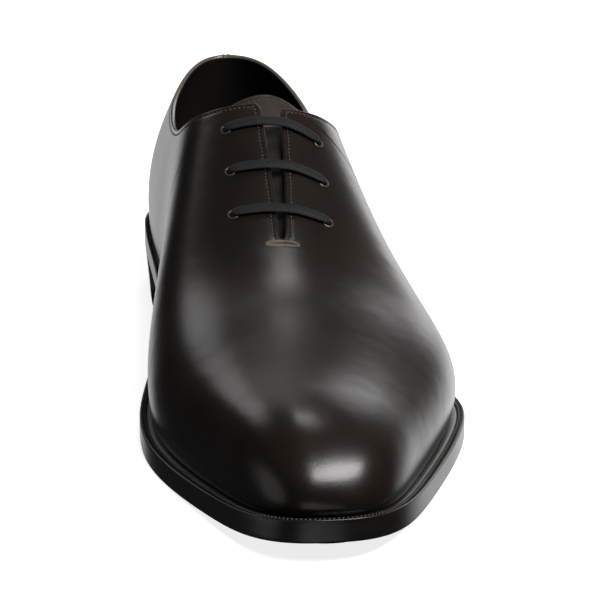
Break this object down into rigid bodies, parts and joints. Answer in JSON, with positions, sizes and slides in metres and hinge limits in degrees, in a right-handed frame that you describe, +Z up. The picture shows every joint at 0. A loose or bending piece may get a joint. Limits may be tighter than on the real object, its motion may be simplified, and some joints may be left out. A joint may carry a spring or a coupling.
{
  "type": "whole cut oxford shoe",
  "caption": "Left dress shoe: one-piece leather upper with a short laced throat over a tongue, on a thin welted leather sole with a low stacked heel and a chiselled toe.",
  "frame": {"origin": "middle of the heel's tread, on the floor", "axes": "+Z up, -Y towards the toe, +Y towards the heel's back, +X towards the outer side of the left foot"},
  "size_m": [0.1056, 0.3079, 0.0953],
  "materials": {
    "calf_leather": "polished dark brown calf, semi-gloss",
    "lining_leather": "matte black lining leather",
    "sole_leather": "black waxed sole leather, satin",
    "heel_rubber": "matte black rubber",
    "waxed_lace": "flat woven waxed cotton"
  },
  "bodies": {
    "root": {"upper": "calf_leather", "tongue": "calf_leather", "insole": "lining_leather", "welt": "sole_leather", "outsole": "sole_leather", "heel_block": "sole_leather", "heel_top_piece": "heel_rubber", "lace_bar_1": "waxed_lace", "lace_bar_2": "waxed_lace", "lace_bar_3": "waxed_lace"}
  },
  "joints": []
}
